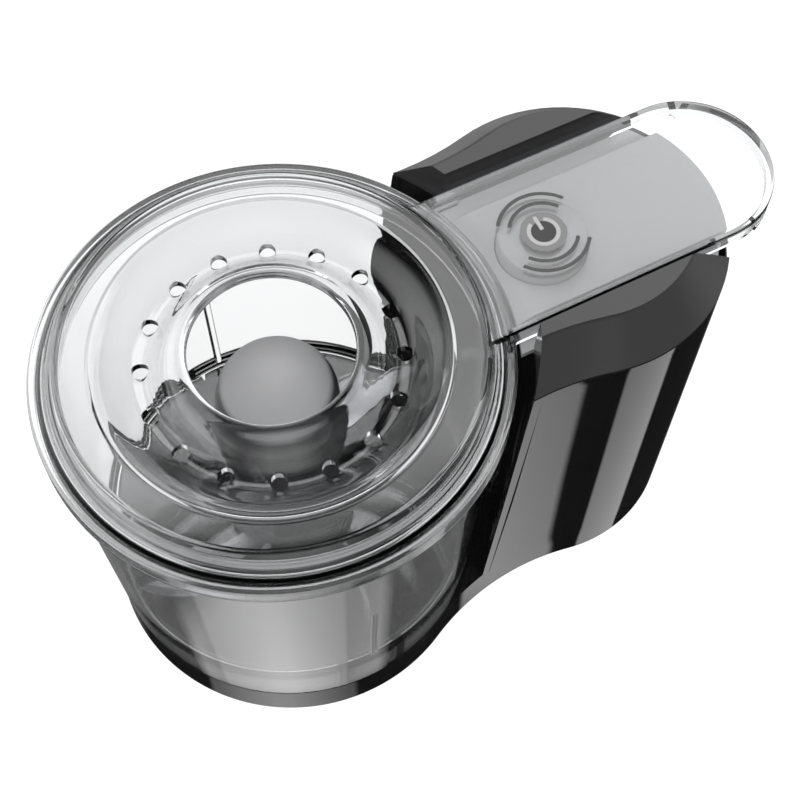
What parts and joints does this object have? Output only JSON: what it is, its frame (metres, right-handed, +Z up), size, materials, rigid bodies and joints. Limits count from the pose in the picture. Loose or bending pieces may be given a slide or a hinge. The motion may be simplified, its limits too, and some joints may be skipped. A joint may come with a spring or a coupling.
{
  "type": "electric food chopper",
  "caption": "Electric food chopper: clear bowl and press lid on a round platform, with a motor tower beside it that drives a two-blade knife through a belt.",
  "frame": {"origin": "centre of the footprint's bounding box on the table, under the rubber feet", "axes": "+X from the bowl to the motor tower, +Z up, +Y completes the right-handed frame"},
  "size_m": [0.2152, 0.1284, 0.132],
  "materials": {
    "gloss_black": "glossy black ABS, high polish",
    "matte_black": "moulded black, fine texture",
    "satin_grey": "dark grey ABS, satin",
    "panel_grey": "mid grey ABS, semi-gloss",
    "hub_grey": "matte grey moulding",
    "white_plastic": "natural acetal",
    "clear_bowl": "clear SAN, polished",
    "clear_lid": "clear SAN, polished",
    "blade_steel": "ground stainless steel",
    "steel": "turned steel",
    "zinc": "zinc-plated steel",
    "aluminium": "die-cast, as cast",
    "lamination": "stacked electrical steel, bare edges",
    "copper": "enamelled copper wire and copper bars",
    "brass": "stamped brass",
    "bronze": "sintered bronze, oiled",
    "carbon": "pressed carbon",
    "capacitor": "epoxy-dipped",
    "board_green": "solder mask",
    "rubber": "soft black rubber",
    "belt_rubber": "toothed-belt rubber with cord backing"
  },
  "bodies": {
    "base": {"base_housing": "gloss_black", "base_cover": "matte_black", "cover_screws": "zinc", "rubber_feet": "rubber", "top_cap": "satin_grey", "cap_screws": "zinc", "switch_panel": "panel_grey", "switch_carrier": "matte_black", "carrier_screws": "zinc", "switch_body": "matte_black", "switch_terminals": "brass", "button_spring": "steel", "circuit_board": "board_green", "board_parts": "capacitor", "board_screws": "zinc", "motor_plate": "matte_black", "motor_plate_screws": "zinc", "motor_stator": "lamination", "field_coils": "copper", "motor_bridge": "matte_black", "motor_bolts": "zinc", "motor_bushes": "bronze", "brush_holders": "brass", "carbon_brushes": "carbon", "drive_belt": "belt_rubber", "spindle_bushes": "bronze", "spindle_seal": "rubber"},
    "rotor": {"motor_shaft": "steel", "armature_core": "lamination", "armature_winding": "copper", "commutator": "copper", "cooling_fan": "matte_black", "motor_pulley": "aluminium"},
    "spindle": {"spindle_shaft": "steel", "spindle_washer": "steel", "driven_pulley": "white_plastic", "drive_coupler": "matte_black"},
    "bowl": {"bowl": "clear_bowl"},
    "blades": {"blade_hub": "hub_grey", "hub_cap": "hub_grey", "lower_blade": "blade_steel", "upper_blade": "blade_steel"},
    "lid": {"lid": "clear_lid", "lid_arm": "clear_lid"},
    "button": {"switch_button": "panel_grey"},
    "lever": {"switch_lever": "steel"},
    "plunger": {"switch_plunger": "white_plastic"}
  },
  "joints": [
    {"name": "rotor_spin", "type": "hinge", "parent": "base", "child": "rotor", "pos_m": [0.0536, 0, 0], "axis": [0, 0, 1], "continuous": true},
    {"name": "spindle_spin", "type": "hinge", "parent": "base", "child": "spindle", "pos_m": [-0.0434, 0, 0], "axis": [0, 0, 1], "continuous": true},
    {"name": "bowl_lift", "type": "slide", "parent": "base", "child": "bowl", "axis": [0, 0, 1], "range_m": [0, 0.11]},
    {"name": "blade_spin", "type": "hinge", "parent": "bowl", "child": "blades", "pos_m": [-0.0434, 0, 0], "axis": [0, 0, 1], "continuous": true},
    {"name": "lid_lift", "type": "slide", "parent": "bowl", "child": "lid", "axis": [0, 0, 1], "range_m": [0, 0.06]},
    {"name": "button_press", "type": "slide", "parent": "base", "child": "button", "axis": [0, 0, -1], "range_m": [0, 0.0018], "stiffness_N_per_m": 600, "springref_m": -0.004, "deforming": ["button_spring"]},
    {"name": "switch_lever_turn", "type": "hinge", "parent": "base", "child": "lever", "pos_m": [0.0376, 0.006, 0.1079], "axis": [1, 0, 0], "range_deg": [0, 17.5]},
    {"name": "plunger_slide", "type": "slide", "parent": "base", "child": "plunger", "axis": [0, 0, -1], "range_m": [0, 0.0014]}
  ],
  "couplings": [
    {"joint": "spindle_spin", "follows": "rotor_spin", "ratio": 0.2},
    {"joint": "blade_spin", "follows": "rotor_spin", "ratio": 0.2},
    {"joint": "switch_lever_turn", "follows": "button_press", "rad_per_m": 166.67},
    {"joint": "plunger_slide", "follows": "button_press", "ratio": 0.75}
  ]
}
